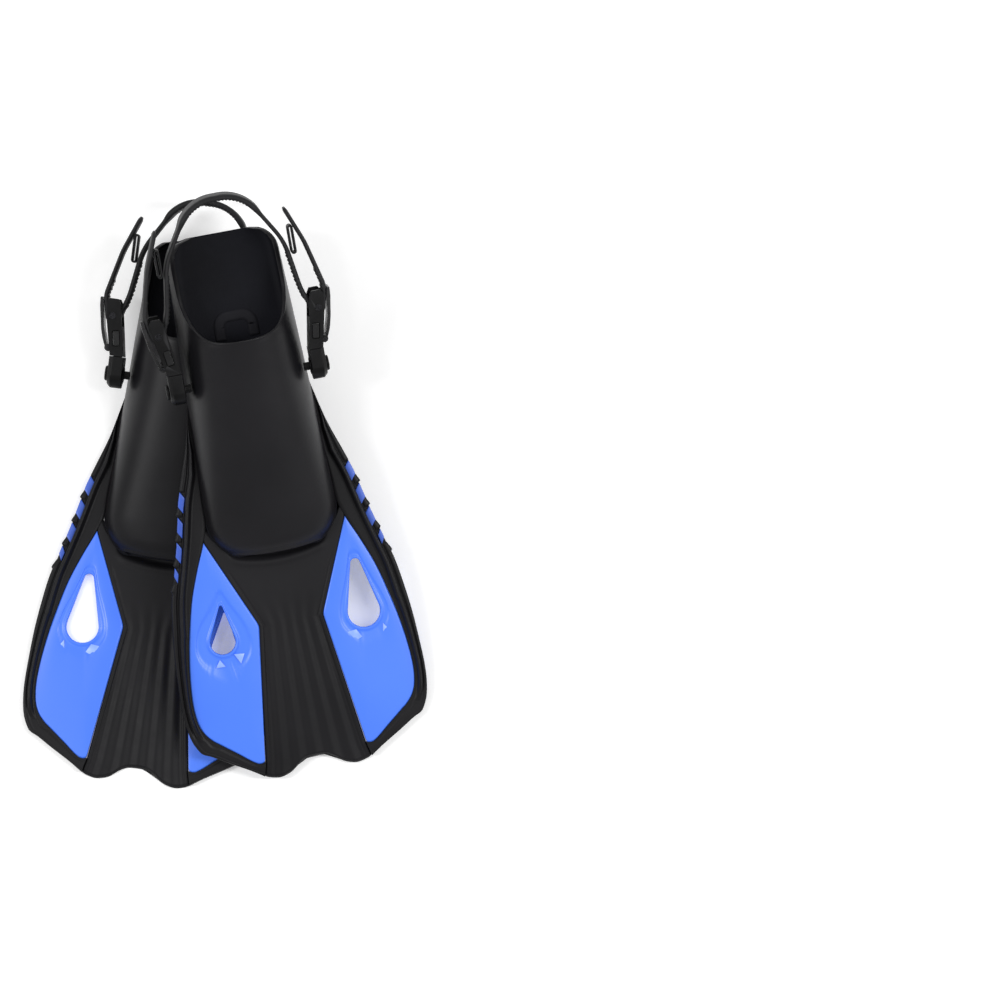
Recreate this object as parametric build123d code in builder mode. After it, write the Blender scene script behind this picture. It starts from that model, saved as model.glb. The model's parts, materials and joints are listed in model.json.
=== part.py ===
from build123d import *
import os
from math import asin, atan2, cos, degrees, radians, sin, sqrt, tan

# A pair of short open-heel swim fins, millimetres, +Z up.
# Each fin is built once as a right fin in its own frame: heel centre of the sole at the
# origin, blade tip towards -Y, outer side at +X, sole and blade underside on z = 0.
# The left fin is the mirror image.  The pair lies fanned out about the heels, left fin
# flat on the floor, right fin resting on it.

# Fin, overall
fin_length = 465.0          # heel centre to the furthest tip of the blade
blade_half_width = 106.0    # centre line to the outer edge of a rail, where it is widest
heel_overhang = 5.0         # sole behind the heel centre

# Foot pocket
pocket_length = 272.0       # heel centre to the toe end
heel_half_width = 47.5
ball_half_width = 57.0
ball_station = 225.0        # distance from the heel where the pocket is widest
heel_corner = 20.0
toe_corner = 29.0
instep_station = 87.0       # front edge of the foot opening
instep_height = 77.0
toe_height = 40.0           # top of the toe box at the ball station
nose_radius = 16.0
pocket_wall = 4.0
sole_thickness = 8.0
heel_lip_height = 16.0
side_rim_height = 34.0
vent_height = 9.0           # slot in the toe end
vent_half_width = 33.0
vent_lip = 1.5              # front wall left below the slot
tread_groove = 3.0
tread_depth = 1.5
tread_count = 7
grip_width = 38.0
grip_length = 24.0
grip_band = 9.0
grip_thickness = 1.2
grip_station = 74.0

# Blade
rail_start = 130.0
rail_base_height = 9.0
rail_ridge_height = 14.0
ridge_inset = 4.5
ridge_width = 5.5
rail_root_width = 23.0      # rail beside the apex of the panel
rail_tip_width = 10.0
apex_station = 253.0
waist_station = 333.0       # narrowest place of the centre channel
waist_half_width = 28.0
channel_tip_half_width = 44.0
panel_foot_station = 449.0
panel_corner = 6.0
channel_height = 8.0
flute_count = 5
flute_width = 4.0
flute_depth = 1.6
panel_bottom = 2.5
panel_top = 7.0
scallop_depth = 13.0
lobe_station_x = 34.0
drain_radius = 1.3
drain_x = 9.0
drain_station = 287.0

# Teardrop vents of the panels: place and size of the round end, radius of the top
large_vent = {"x": 63.0, "u": 337.0, "r": 14.0, "top_x": 63.0, "top_u": 295.0, "top_r": 4.2}
small_vent = {"x": 61.0, "u": 340.0, "r": 11.0, "top_x": 57.5, "top_u": 310.5, "top_r": 1.5}

# Inserts in the outer side of each rail
insert_count = 4
insert_start = 208.0
insert_pitch = 21.0
insert_length = 13.0
insert_depth = 5.0
insert_slant = 6.0
insert_bottom = 2.0         # the blocks reach from here up to the rail's flat top

# Strap, its posts and its buckles
post_station = 119.0
post_height = 38.0
post_radius = 3.5
post_bore_clearance = 0.06
boss_radius = 10.0
boss_face = 53.6            # from the centre line
collar_radius = 7.0
collar_thickness = 0.7
cap_radius = 6.5
cap_thickness = 2.2
body_gap = 0.35             # between pieces of different bodies that do not bear on each other
receiver_thickness = 12.8
receiver_half_width = 12.0
receiver_length = 15.0      # post axis to the seam
socket_wall = 3.0
socket_depth = 8.5
socket_half_width = 8.3
frame_length = 49.0
frame_half_width = 12.4
strap_half_width = 9.4
strap_thickness = 3.4
strap_side_gap = 0.45
solid_end = 26.0            # length of the closed end of a buckle frame
bar_radius = 3.0
bar_x = 68.5
bar_station = 69.5
bar_gap = 0.3
lever_pin_radius = 1.5
lever_pin_x = 69.4
lever_pin_station = 97.0
lever_lug_radius = 3.2
button_x = 63.2
button_station = 88.5
button_width = 6.0
button_length = 13.0
button_height = 6.4
button_recess = 0.5
button_travel = 2.2
button_gap = 0.3
spring_radius = 1.9
spring_wire = 0.35
spring_height = 3.2
heel_pad_half_width = 13.0
heel_pad_thickness = 5.2
strap_reach = 37.0          # band behind the heel centre
keeper_width = 5.0
keeper_length = 25.0
keeper_thickness = 1.8
strap_tilt = 6.0            # strap above the horizontal at rest

# The pair
fan_angle = 17.8
heel_spacing = 16.0
stack_gap = 0.6


def at(x, u, z=0.0):
    """A point given by its distance u from the heel towards the blade tip."""
    return (x, -u, z)


def flat(x, u):
    return (x, -u)


# ---- shape of the pocket -------------------------------------------------------------

def corner_inset(distance, radius):
    """How far a rounded corner draws the side in, this far from the end."""
    if distance >= radius:
        return 0.0
    return radius - sqrt(max(radius**2 - (radius - distance) ** 2, 0.0))


def pocket_half_width(u, end=pocket_length):
    share = min(max(u, 0.0) / ball_station, 1.0)
    width = heel_half_width + (ball_half_width - heel_half_width) * share
    return width - corner_inset(end + 3.0 - u, toe_corner)


def pocket_crest(u, end=pocket_length):
    slope = (instep_height - toe_height) / (ball_station - instep_station)
    crest = instep_height - slope * max(u - instep_station, 0.0)
    return crest - corner_inset(end + 2.0 - u, nose_radius)


def arch_section(u, half_width, bottom, top):
    """A flat-bottomed arch across the fin, at the distance u from the heel."""
    rise = top - bottom
    with BuildSketch(Plane.XZ.offset(u)) as section:
        with BuildLine():
            Line((-half_width, bottom), (half_width, bottom))
            Spline(
                (half_width, bottom),
                (half_width * 0.985, bottom + 0.42 * rise),
                (half_width * 0.66, bottom + 0.86 * rise),
                (0, top),
                (-half_width * 0.66, bottom + 0.86 * rise),
                (-half_width * 0.985, bottom + 0.42 * rise),
                (-half_width, bottom),
                tangents=((0.04, 1), (0.04, -1)),
            )
        make_face()
    return section.sketch


def stations(first, last):
    middle = (0.5 * instep_station, instep_station, 0.5 * (instep_station + ball_station))
    toe = [last - share * toe_corner for share in (0.9, 0.55, 0.25, 0.08, 0.0)]
    return (first, *middle, ball_station, *toe)


def pocket_outer():
    with BuildPart() as outer:
        for u in stations(-heel_overhang, pocket_length):
            add(arch_section(u, pocket_half_width(u), 0.0, pocket_crest(u)))
        loft(ruled=True)
        wide = ball_half_width + 3.0
        with BuildSketch() as plan:
            with BuildLine():
                Polyline(
                    flat(-heel_half_width, -heel_overhang), flat(heel_half_width, -heel_overhang),
                    flat(wide, ball_station), flat(wide, 2 * pocket_length),
                    flat(-wide, 2 * pocket_length), flat(-wide, ball_station), close=True,
                )
            make_face()
            fillet(plan.vertices().group_by(Axis.Y)[-1], heel_corner)
        extrude(amount=2 * instep_height, mode=Mode.INTERSECT)
        split(bisect_by=Plane.YZ)
        mirror(about=Plane.YZ)
    return outer.part


def pocket_cavity():
    end = pocket_length - pocket_wall
    with BuildPart() as cavity:
        for u in stations(-3 * heel_overhang, end):
            width = pocket_half_width(u, end) - pocket_wall
            add(arch_section(u, width, sole_thickness, pocket_crest(u, end) - pocket_wall))
        loft(ruled=True)
        split(bisect_by=Plane.YZ)
        mirror(about=Plane.YZ)
    return cavity.part


def opening_cutter():
    """Everything above the rim line of the foot opening."""
    top = instep_height + 60.0
    back = -heel_overhang - 30.0
    with BuildPart() as cutter:
        with BuildSketch(Plane.YZ):
            with BuildLine():
                Polyline(
                    (-instep_station - 3.0, instep_height + 6.0), (-instep_station - 3.0, top),
                    (-back, top), (-back, heel_lip_height), (heel_overhang + 1.0, heel_lip_height)
                )
                Spline(
                    (heel_overhang + 1.0, heel_lip_height),
                    (-14.0, side_rim_height - 6.0),
                    (-0.55 * instep_station, side_rim_height + 4.0),
                    (-instep_station + 9.0, instep_height - 14.0),
                    (-instep_station - 3.0, instep_height + 6.0),
                )
            make_face()
        extrude(amount=2 * ball_half_width, both=True)
    return cutter.part


# ---- shape of the blade --------------------------------------------------------------

def edge_points():
    """Outer edge of the blade from the pocket to the corner of the tip: (distance, x)."""
    span = fin_length - rail_start
    swell = blade_half_width - ball_half_width
    root = pocket_half_width(rail_start)
    return (
        (rail_start - 4.0, root - 1.5),
        (rail_start + 0.13 * span, root + 0.19 * swell),
        (rail_start + 0.254 * span, ball_half_width + 0.39 * swell),
        (rail_start + 0.373 * span, ball_half_width + 0.57 * swell),
        (rail_start + 0.50 * span, ball_half_width + 0.82 * swell),
        (rail_start + 0.63 * span, ball_half_width + 0.95 * swell),
        (rail_start + 0.79 * span, blade_half_width),
        (rail_start + 0.87 * span, ball_half_width + 0.92 * swell),
        (rail_start + 0.90 * span, ball_half_width + 0.80 * swell),
    )


def edge_x(u):
    points = edge_points()
    for (u0, x0), (u1, x1) in zip(points, points[1:]):
        if u <= u1:
            return x0 + (x1 - x0) * (u - u0) / (u1 - u0)
    return points[-1][1]


def rail_width(u):
    share = min(max((u - apex_station) / (0.33 * (fin_length - rail_start)), 0.0), 1.0)
    return rail_root_width + (rail_tip_width - rail_root_width) * share**0.8


def blade_half():
    """Half of the blade seen from above, from the centre line to the outer edge."""
    edge = [flat(x, u) for u, x in edge_points()]
    corner_u, corner_x = edge_points()[-1]
    lobe = fin_length
    with BuildSketch() as half:
        with BuildLine():
            Polyline(flat(0, fin_length - scallop_depth), flat(0, rail_start - 4.0), edge[0])
            Spline(*edge)
            Polyline(edge[-1], flat(corner_x - 4.0, corner_u + 2.0))
            Spline(
                flat(corner_x - 4.0, corner_u + 2.0),
                flat(0.6 * corner_x, lobe - 11.0),
                flat(lobe_station_x + 11.0, lobe - 3.0),
                flat(lobe_station_x, lobe),
                flat(lobe_station_x - 10.0, lobe - 2.5),
                flat(0.5 * lobe_station_x, lobe - 8.0),
                flat(0, fin_length - scallop_depth),
                tangents=((-0.8, -0.6), (-1, 0)),
            )
        make_face()
    return half.sketch


def apex():
    return (edge_x(apex_station) - rail_root_width, apex_station)


def channel_half():
    """Half of the centre channel with the web beside the toe box, seen from above."""
    apex_x, apex_u = apex()
    with BuildSketch() as half:
        with BuildLine():
            Polyline(
                flat(0, fin_length + 10), flat(0, apex_u - 40), flat(apex_x - 10, apex_u - 40),
                flat(apex_x, apex_u), flat(waist_half_width, waist_station),
                flat(channel_tip_half_width, panel_foot_station),
                flat(channel_tip_half_width + 3.0, fin_length + 10), close=True,
            )
        make_face()
        add(blade_half(), mode=Mode.INTERSECT)
    return half.sketch


def panel_half():
    apex_x, apex_u = apex()
    side = [apex_u + step * (0.79 * (fin_length - rail_start) + rail_start - apex_u)
            for step in (0.3, 0.55, 0.85, 1.0)]
    foot_u = panel_foot_station
    with BuildSketch() as half:
        with BuildLine():
            Line(flat(waist_half_width, waist_station), flat(apex_x, apex_u))
            Spline(flat(apex_x, apex_u), *[flat(edge_x(u) - rail_width(u), u) for u in side])
            last = flat(edge_x(side[-1]) - rail_width(side[-1]), side[-1])
            low_u = side[-1] + 27.0
            low_x = edge_x(low_u) - 1.45 * rail_tip_width
            Spline(last, flat(low_x + 3.0, low_u - 9.0), flat(low_x - 4.0, low_u + 2.0),
                   tangents=((0.05, -1), (-0.85, -0.52)))
            Line(flat(low_x - 4.0, low_u + 2.0), flat(channel_tip_half_width + 7.0, foot_u))
            Line(flat(channel_tip_half_width + 7.0, foot_u), flat(channel_tip_half_width, foot_u))
            Line(flat(channel_tip_half_width, foot_u), flat(waist_half_width, waist_station))
        make_face()
    return half.sketch


def teardrop(vent):
    with BuildSketch() as drop:
        with BuildLine():
            CenterArc(flat(vent["x"], vent["u"]), vent["r"], 0, 360)
            CenterArc(flat(vent["top_x"], vent["top_u"]), vent["top_r"], 0, 360)
        make_hull()
    return drop.sketch


# ---- pieces of a fin -----------------------------------------------------------------

def foot_pocket():
    inner_face = pocket_half_width(post_station) - 0.75 * pocket_wall
    vent_z = sole_thickness + vent_lip + vent_height / 2
    with BuildPart() as piece:
        add(pocket_outer())
        add(pocket_cavity(), mode=Mode.SUBTRACT)
        with Locations(at(0, pocket_length / 2, sole_thickness / 2)):
            Box(4 * ball_half_width, 2 * pocket_length, sole_thickness, mode=Mode.SUBTRACT)
        add(opening_cutter(), mode=Mode.SUBTRACT)
        with Locations(at(0, pocket_length - pocket_wall, vent_z)):
            Box(2 * vent_half_width, 6 * pocket_wall, vent_height, mode=Mode.SUBTRACT)
        for side in (1, -1):
            with BuildSketch(Plane.YZ.offset(side * inner_face)):
                with Locations((-post_station, post_height)):
                    Circle(boss_radius)
            extrude(amount=side * (boss_face - inner_face))
            with BuildSketch(Plane.YZ.offset(side * (inner_face - 2 * pocket_wall))):
                with Locations((-post_station, post_height)):
                    Circle(post_radius + post_bore_clearance)
            extrude(amount=side * 4 * pocket_wall, mode=Mode.SUBTRACT)
    return piece


def footbed():
    with BuildPart() as piece:
        add(pocket_outer())
        with Locations(at(0, pocket_length / 2, sole_thickness / 2)):
            Box(4 * ball_half_width, 2 * pocket_length, sole_thickness, mode=Mode.INTERSECT)
        spacing = (ball_station - 20.0) / tread_count
        for groove in range(tread_count):
            with Locations(at(0, 20.0 + groove * spacing, tread_depth / 2)):
                Box(1.5 * heel_half_width, tread_groove, tread_depth, mode=Mode.SUBTRACT)
    return piece


def grip_pad():
    with BuildPart() as piece:
        with BuildSketch(Plane.XY.offset(sole_thickness)):
            with Locations(flat(0, grip_station)):
                RectangleRounded(grip_width, grip_length, grip_band * 0.9)
            with Locations(flat(0, grip_station + grip_band)):
                Rectangle(grip_width - 2 * grip_band, grip_length, mode=Mode.SUBTRACT)
        extrude(amount=grip_thickness)
    return piece


def blade_channel():
    with BuildPart() as piece:
        with BuildSketch():
            add(channel_half())
            mirror(about=Plane.YZ)
        extrude(amount=channel_height)
        add(pocket_outer(), mode=Mode.SUBTRACT)
        length = fin_length - scallop_depth - pocket_length - 62.0
        for flute in range(flute_count):
            place = (flute - (flute_count - 1) / 2) / flute_count
            lean = degrees(atan2(place * 2 * (channel_tip_half_width - waist_half_width), length))
            middle = pocket_length + 42.0 + length / 2
            spread = place * (waist_half_width + channel_tip_half_width)
            with BuildSketch(Plane.XY.offset(channel_height)):
                with Locations(Location(at(spread, middle), (0, 0, lean))):
                    SlotOverall(length, flute_width, rotation=90)
            extrude(amount=-flute_depth, mode=Mode.SUBTRACT)
        with Locations(at(drain_x, drain_station, 0), at(-drain_x, drain_station, 0)):
            Cylinder(drain_radius, 4 * channel_height, mode=Mode.SUBTRACT)
    return piece


def insert_prisms():
    """The slanted blocks set into the outer side of a rail."""
    with BuildPart() as blocks:
        for index in range(insert_count):
            top_u = insert_start + index * insert_pitch
            low_u = top_u + insert_length
            with BuildSketch(Plane.XY.offset(insert_bottom)):
                with BuildLine():
                    Polyline(
                        flat(edge_x(top_u) + 3.0, top_u), flat(edge_x(low_u) + 3.0, low_u),
                        flat(edge_x(low_u) - insert_depth, low_u + insert_slant),
                        flat(edge_x(top_u) - insert_depth, top_u + insert_slant), close=True,
                    )
                make_face()
                add(blade_half(), mode=Mode.INTERSECT)
            extrude(amount=rail_base_height - insert_bottom)
    return blocks


def rail():
    low, high = rail_start + 18.0, edge_points()[-2][0]
    count = 9
    steps = [low + (high - low) * n / (count - 1) for n in range(count)]
    outer = [flat(edge_x(u) - ridge_inset, u) for u in steps]
    inner = [flat(edge_x(u) - ridge_inset - ridge_width, u) for u in reversed(steps)]
    with BuildPart() as piece:
        with BuildSketch():
            add(blade_half())
            add(channel_half(), mode=Mode.SUBTRACT)
            add(panel_half(), mode=Mode.SUBTRACT)
        extrude(amount=rail_base_height)
        with BuildSketch(Plane.XY.offset(rail_base_height)):
            with BuildLine():
                Spline(*outer)
                Line(outer[-1], inner[0])
                Spline(*inner)
                Line(inner[-1], outer[0])
            make_face()
        extrude(amount=rail_ridge_height - rail_base_height)
        add(pocket_outer(), mode=Mode.SUBTRACT)
        add(insert_prisms().part, mode=Mode.SUBTRACT)
    return piece


def panel(vent):
    with BuildPart() as piece:
        with BuildSketch(Plane.XY.offset(panel_bottom)):
            add(panel_half())
            add(teardrop(vent), mode=Mode.SUBTRACT)
        extrude(amount=panel_top - panel_bottom)
        add(pocket_outer(), mode=Mode.SUBTRACT)
    return piece


# ---- strap posts and buckles, built for the outer side -------------------------------

def receiver_inner_face():
    return boss_face + collar_thickness + body_gap


def receiver_outer_face():
    return receiver_inner_face() + receiver_thickness


def seam_station():
    return post_station - receiver_length


def post():
    inside = pocket_half_width(post_station) - pocket_wall
    with BuildPart() as piece:
        with BuildSketch(Plane.YZ.offset(inside)):
            with Locations((-post_station, post_height)):
                Circle(post_radius)
        extrude(amount=receiver_outer_face() + body_gap - inside)
        with BuildSketch(Plane.YZ.offset(boss_face)):
            with Locations((-post_station, post_height)):
                Circle(collar_radius)
        extrude(amount=collar_thickness)
    return piece


def post_cap():
    with BuildPart() as piece:
        with BuildSketch(Plane.YZ.offset(receiver_outer_face() + body_gap)):
            with Locations((-post_station, post_height)):
                Circle(cap_radius)
        extrude(amount=cap_thickness)
        chamfer(piece.faces().sort_by(Axis.X)[-1].edges(), 0.8)
    return piece


def receiver():
    face = receiver_inner_face()
    seam = seam_station()
    with BuildPart() as piece:
        with BuildSketch(Plane.YZ.offset(face)):
            with Locations((-post_station, post_height)):
                Circle(receiver_half_width)
            with Locations((-seam - receiver_length / 2, post_height)):
                Rectangle(receiver_length, 2 * receiver_half_width)
        extrude(amount=receiver_thickness)
        chamfer(piece.faces().sort_by(Axis.X)[-1].edges().sort_by(Axis.Y)[:1], 3.0)
        with Locations(at(face + receiver_thickness / 2, seam + socket_depth / 2, post_height)):
            Box(receiver_thickness - 2 * socket_wall, socket_depth, 2 * socket_half_width,
                mode=Mode.SUBTRACT)
        with Locations(at(face, post_station, post_height)):
            Cylinder(post_radius + post_bore_clearance, 3 * receiver_thickness,
                     rotation=(0, 90, 0), mode=Mode.SUBTRACT)
    return piece


def frame_outline(lower_end):
    """A cheek of the buckle frame seen from above, down to the given station."""
    seam = seam_station() - body_gap
    top = seam - frame_length
    face = receiver_inner_face()
    with BuildSketch() as outline:
        with BuildLine():
            Polyline(
                flat(face + 0.6, seam), flat(bar_x - 6.0, top + 4.5), flat(bar_x - 3.5, top),
                flat(bar_x + 4.0, top), flat(bar_x + 6.2, top + 3.0), flat(bar_x + 4.7, top + 19.0),
                flat(receiver_outer_face() - 0.6, seam), close=True,
            )
        make_face()
        with Locations(flat(bar_x, top - 50 + (lower_end - top))):
            Rectangle(100, 100, mode=Mode.INTERSECT)
    return outline.sketch


def buckle_frame():
    seam = seam_station() - body_gap
    face = receiver_inner_face()
    slot_half = strap_half_width + strap_side_gap
    tongue_half_width = socket_half_width - body_gap
    tongue_thickness = receiver_thickness - 2 * socket_wall - 2 * body_gap
    tongue_length = socket_depth - 1.0
    with BuildPart() as piece:
        with BuildSketch(Plane.XY.offset(post_height - frame_half_width)):
            add(frame_outline(seam))
        extrude(amount=2 * frame_half_width)
        with Locations(at(bar_x, seam - solid_end - 25.0, post_height)):
            Box(60, 50, 2 * slot_half, mode=Mode.SUBTRACT)
        with Locations(at(face + receiver_thickness / 2, seam + tongue_length / 2, post_height)):
            Box(tongue_thickness, tongue_length, 2 * tongue_half_width)
        with Locations(at(bar_x, bar_station, post_height)):
            Cylinder(bar_radius, 4 * frame_half_width, mode=Mode.SUBTRACT)
        with Locations(at(lever_pin_x, lever_pin_station, post_height)):
            Cylinder(lever_pin_radius, 4 * frame_half_width, mode=Mode.SUBTRACT)
            Cylinder(lever_lug_radius + body_gap, 2 * slot_half, mode=Mode.SUBTRACT)
        with BuildSketch(Plane.XY.offset(post_height + frame_half_width)):
            with Locations(Location(at(button_x, button_station), (0, 0, -9))):
                RectangleRounded(button_width + 2 * button_gap, button_length + 2 * button_gap, 1.6)
        extrude(amount=-button_recess - button_height - button_travel - 0.5, mode=Mode.SUBTRACT)
        depth = button_recess + button_height + button_travel + spring_height + 0.6
        with Locations(at(button_x, button_station, post_height + frame_half_width - depth / 2)):
            Cylinder(spring_radius + spring_wire + 0.4, depth, mode=Mode.SUBTRACT)
    return piece


def strap_bar():
    with BuildPart() as piece:
        with Locations(at(bar_x, bar_station, post_height)):
            Cylinder(bar_radius, 2 * frame_half_width)
    return piece


def lever_pin():
    with BuildPart() as piece:
        with Locations(at(lever_pin_x, lever_pin_station, post_height)):
            Cylinder(lever_pin_radius, 2 * frame_half_width)
    return piece


def strap_outside():
    """How far past the bar's centre the strap's bend reaches."""
    return bar_x + bar_radius + bar_gap + strap_thickness


def lever():
    half = strap_half_width
    skin = strap_outside()
    with BuildPart() as piece:
        with BuildSketch(Plane.XY.offset(post_height - half)):
            with BuildLine():
                Spline(
                    flat(lever_pin_x + 0.6, lever_pin_station + 3.4),
                    flat(skin + 0.9, bar_station + 17.0), flat(skin + 3.7, bar_station + 4.0),
                    flat(skin + 5.5, bar_station - 8.0), flat(skin + 5.9, bar_station - 15.0),
                )
                Line(flat(skin + 5.9, bar_station - 15.0), flat(skin + 4.2, bar_station - 15.4))
                Spline(
                    flat(skin + 4.2, bar_station - 15.4), flat(skin + 2.3, bar_station - 8.0),
                    flat(skin + 0.9, bar_station + 4.0), flat(skin - 1.8, bar_station + 17.0),
                    flat(lever_pin_x - 0.6, lever_pin_station + 3.1),
                )
                Line(flat(lever_pin_x - 0.6, lever_pin_station + 3.1),
                     flat(lever_pin_x + 0.6, lever_pin_station + 3.4))
            make_face()
            with Locations(flat(lever_pin_x, lever_pin_station)):
                Circle(lever_lug_radius)
        extrude(amount=2 * half)
        with Locations(at(lever_pin_x, lever_pin_station, post_height)):
            Cylinder(lever_pin_radius + 0.05, 4 * half, mode=Mode.SUBTRACT)
    return piece


def button():
    top = post_height + frame_half_width - button_recess
    with BuildPart() as piece:
        with BuildSketch(Plane.XY.offset(top - button_height)):
            with Locations(Location(at(button_x, button_station), (0, 0, -9))):
                RectangleRounded(button_width, button_length, 1.4)
        extrude(amount=button_height)
        fillet(piece.faces().sort_by(Axis.Z)[-1].edges(), 0.5)
    return piece


def button_spring():
    top = post_height + frame_half_width - button_recess - button_height
    coil = spring_height - 2 * spring_wire
    with BuildPart() as piece:
        with BuildLine(Plane.XY.offset(0)) as path:
            Helix(pitch=1.2, height=coil, radius=spring_radius,
                  center=at(button_x, button_station, top - coil - spring_wire))
        with BuildSketch(Plane(origin=path.line @ 0, z_dir=path.line % 0)):
            Circle(spring_wire)
        sweep(path=path.line)
    return piece


def tangent_corner(point, side):
    """Where the tangent from a point to the strap's bend meets the bend's lowest line."""
    bend = bar_radius + bar_gap + strap_thickness / 2
    dx, du = bar_x - point[0], bar_station - point[1]
    heading = atan2(dx, du) + side * asin(bend / sqrt(dx * dx + du * du))
    low = bar_station + bend
    return (point[0] + (low - point[1]) * tan(heading), low)


def strap_route():
    """Centre line of the strap from the heel to the end of its tail, outer side."""
    feed = (57.0, 50.0)
    leave = (strap_outside() + 2.0, bar_station - 17.5)
    tail = bar_x + strap_thickness
    return [
        (0.45 * heel_half_width + 1.0, -strap_reach), (heel_half_width + 3.2, 10.0), feed,
        tangent_corner(feed, -1), tangent_corner(leave, 1), leave,
        (tail - 4.6, 13.0), (tail - 16.9, -18.0),
    ]


def heel_strap():
    bend = bar_radius + bar_gap + strap_thickness / 2
    side = strap_route()
    left = [flat(-x, u) for x, u in reversed(side)]
    right = [flat(x, u) for x, u in side]
    radii = [34.0, 60.0, 60.0, bend, bend, 16.0, 80.0]
    with BuildPart() as piece:
        with BuildSketch(Plane.XY.offset(post_height - strap_half_width)):
            with BuildLine():
                FilletPolyline(*left, *right, radius=[*reversed(radii), *radii])
            trace(line_width=strap_thickness)
        extrude(amount=2 * strap_half_width)
        with BuildSketch(Plane.XY.offset(post_height - heel_pad_half_width)):
            with BuildLine() as band:
                FilletPolyline(left[-2], left[-1], right[0], right[1], radius=34.0)
            trace(line_width=heel_pad_thickness)
            with Locations(flat(0, -strap_reach)):
                Rectangle(2 * heel_half_width - 20.0, 70.0, mode=Mode.INTERSECT)
        extrude(amount=2 * heel_pad_half_width)
    return piece


def keeper():
    outer_x = heel_half_width + 3.2 + strap_thickness / 2
    with BuildPart() as piece:
        with BuildSketch(Plane.XY.offset(post_height - 0.8 * strap_half_width)):
            with Locations(Location(at(outer_x + keeper_width / 2 + 2.3, 9.5), (0, 0, 90))):
                SlotOverall(keeper_length, keeper_width)
                SlotOverall(keeper_length - 2 * keeper_thickness,
                            keeper_width - 2 * keeper_thickness, mode=Mode.SUBTRACT)
        extrude(amount=1.6 * strap_half_width)
    return piece


# ---- the pair ------------------------------------------------------------------------

def heel_point(side):
    return side * heel_spacing / 2


def on_floor(side, x, u):
    """Where a point of a fin lies when that fin is flat on the floor; x grows outwards."""
    turn = radians(fan_angle / 2)
    return (
        heel_point(side) + side * (x * cos(turn) + u * sin(turn)),
        x * sin(turn) - u * cos(turn),
    )


def left_plane():
    turn = radians(fan_angle / 2)
    return Plane(origin=(heel_point(-1), 0, 0), x_dir=(cos(turn), -sin(turn), 0), z_dir=(0, 0, 1))


def resting_plane(instep_rise, rail_rise):
    """Plane through a point over the left instep, one over its inner rail and the floor."""
    turn = radians(fan_angle / 2)
    corner_u, corner_x = edge_points()[-1]
    instep = Vector(*on_floor(-1, 0, instep_station), instep_height + instep_rise)
    rail_u = corner_u - 12.0
    rail_x = -(edge_x(rail_u) - ridge_inset)
    crossed = Vector(*on_floor(-1, rail_x, rail_u), rail_ridge_height + rail_rise)
    tip = Vector(*on_floor(1, corner_x - 4.0, corner_u), 0.0)
    normal = (tip - crossed).cross(instep - crossed).normalized()
    if normal.Z < 0:
        normal = normal * -1
    heel_x = heel_point(1)
    heel_z = -(normal.X * (heel_x - tip.X) - normal.Y * tip.Y) / normal.Z
    across = Vector(cos(turn), sin(turn), 0)
    across = across - normal * across.dot(normal)
    return Plane(origin=(heel_x, 0, heel_z), x_dir=across, z_dir=normal)


def rise_above(plane, piece):
    """How far a piece of the left fin stands above a plane of the right fin."""
    placed = mirror(piece, about=Plane.YZ).moved(left_plane().location)
    return plane.to_local_coords(placed).bounding_box().max.Z


def right_plane():
    """Underside of the right fin, which leans on the left fin's instep and inner rail."""
    pocket, inner_rail = foot_pocket().part, inner_side(rail).part
    first = resting_plane(0.0, 0.0)
    second = resting_plane(rise_above(first, pocket), rise_above(first, inner_rail))
    lift = max(rise_above(second, pocket), rise_above(second, inner_rail)) + stack_gap
    return second.offset(lift)


def post_axis():
    return Axis(at(0, post_station, post_height), (1, 0, 0))


def finish(builder, name, planes, tilted=False):
    """Writes a piece for both fins, mirrored for the left one."""
    piece = builder.part
    if tilted:
        piece = piece.rotate(post_axis(), strap_tilt)
    for side, plane in planes.items():
        solid = mirror(piece, about=Plane.YZ) if side == "left" else piece
        placed = Part(solid.moved(plane.location).wrapped)
        placed.label = f"{side}_{name}"
        export_step(placed, f"parts/{placed.label}.step")


def both_sides(build):
    """A group of the outer piece and its mirror image at the inner side of the same fin."""
    with BuildPart() as pair:
        add(build().part)
        mirror(about=Plane.YZ)
    return pair


def inner_side(build):
    with BuildPart() as mirrored:
        add(mirror(build().part, about=Plane.YZ, mode=Mode.PRIVATE))
    return mirrored


os.makedirs("parts", exist_ok=True)
planes = {"left": left_plane(), "right": right_plane()}

finish(foot_pocket(), "foot_pocket", planes)
finish(footbed(), "footbed", planes)
finish(grip_pad(), "grip_pad", planes)
finish(blade_channel(), "blade_channel", planes)
finish(rail(), "outer_rail", planes)
finish(inner_side(rail), "inner_rail", planes)
finish(insert_prisms(), "outer_rail_inserts", planes)
finish(inner_side(insert_prisms), "inner_rail_inserts", planes)
finish(panel(large_vent), "outer_panel", planes)
finish(inner_side(lambda: panel(small_vent)), "inner_panel", planes)
finish(post(), "outer_post", planes)
finish(inner_side(post), "inner_post", planes)
finish(both_sides(post_cap), "post_caps", planes)

for place, make in (("outer", lambda build: build()), ("inner", inner_side)):
    finish(make(receiver), f"{place}_receiver", planes, tilted=True)
    finish(make(buckle_frame), f"{place}_buckle_frame", planes, tilted=True)
    finish(make(lever), f"{place}_lever", planes, tilted=True)
    finish(make(button), f"{place}_release_button", planes, tilted=True)
    finish(make(button_spring), f"{place}_button_spring", planes, tilted=True)

finish(both_sides(strap_bar), "strap_bars", planes, tilted=True)
finish(both_sides(lever_pin), "lever_pins", planes, tilted=True)
finish(heel_strap(), "heel_strap", planes, tilted=True)
finish(both_sides(keeper), "strap_keepers", planes, tilted=True)
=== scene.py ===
import json
import math
import bmesh
import bpy
import numpy as np
from mathutils import Matrix, Vector


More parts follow.
